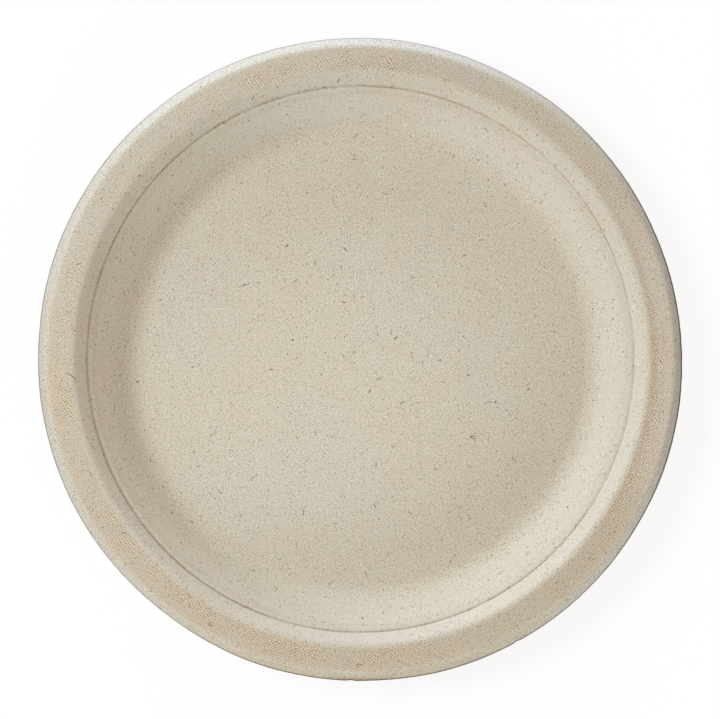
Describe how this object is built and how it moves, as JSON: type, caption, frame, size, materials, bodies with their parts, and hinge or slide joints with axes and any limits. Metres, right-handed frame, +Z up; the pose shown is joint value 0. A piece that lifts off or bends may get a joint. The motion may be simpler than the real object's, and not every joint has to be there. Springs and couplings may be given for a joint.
{
  "type": "paper plate",
  "caption": "Round moulded-fibre plate with a flat floor, a sloping wall with a stacking step, a rim that falls a little outwards and a turned-down lip; it holds food.",
  "frame": {"origin": "middle of the floor's underside, on the table", "axes": "+Z up, out of the well; the plate is round, and as pictured +X is to the right and +Y to the top of the picture"},
  "size_m": [0.228, 0.228, 0.0187],
  "materials": {
    "moulded_fibre": "matte"
  },
  "bodies": {
    "root": {"plate": "moulded_fibre"}
  },
  "joints": []
}
